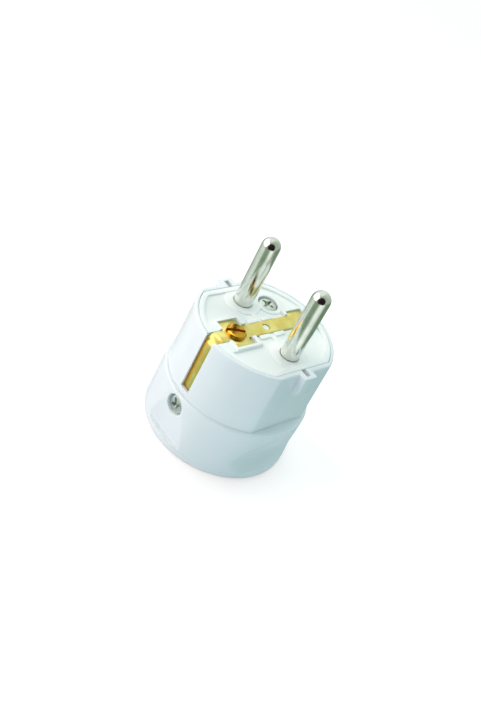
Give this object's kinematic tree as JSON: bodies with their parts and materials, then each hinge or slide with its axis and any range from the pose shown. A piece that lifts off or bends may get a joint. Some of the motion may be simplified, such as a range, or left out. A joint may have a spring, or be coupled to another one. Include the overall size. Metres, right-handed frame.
{
  "type": "type f plug",
  "caption": "Round rewirable type f mains plug: drafted white housing with finger grips, plated pins, folded brass earth strip in the face and a rear cable hole.",
  "frame": {"origin": "centre of the rear face, on the plug's axis", "axes": "+Z along the pins, X through both pins, Y along the earth strip"},
  "size_m": [0.0392, 0.0392, 0.0533],
  "materials": {
    "housing_plastic": "smooth moulded, glossy",
    "carrier_plastic": "smooth moulded, satin",
    "pin_plating": "nickel plated, polished",
    "strip_brass": "rolled, bright",
    "earth_screw_brass": "turned, darkened",
    "terminal_brass": "sawn and drilled",
    "zinc_steel": "zinc plated",
    "clamp_plastic": "moulded"
  },
  "bodies": {
    "root": {"housing": "housing_plastic", "pin_carrier": "carrier_plastic", "line_pin": "pin_plating", "neutral_pin": "pin_plating", "terminal_screws": "zinc_steel", "earth_strip": "strip_brass", "earth_screw": "earth_screw_brass", "earth_terminal": "terminal_brass", "carrier_screw": "zinc_steel", "side_screw": "zinc_steel", "side_nut": "zinc_steel", "clamp_bar": "clamp_plastic", "clamp_screws": "zinc_steel"}
  },
  "joints": []
}
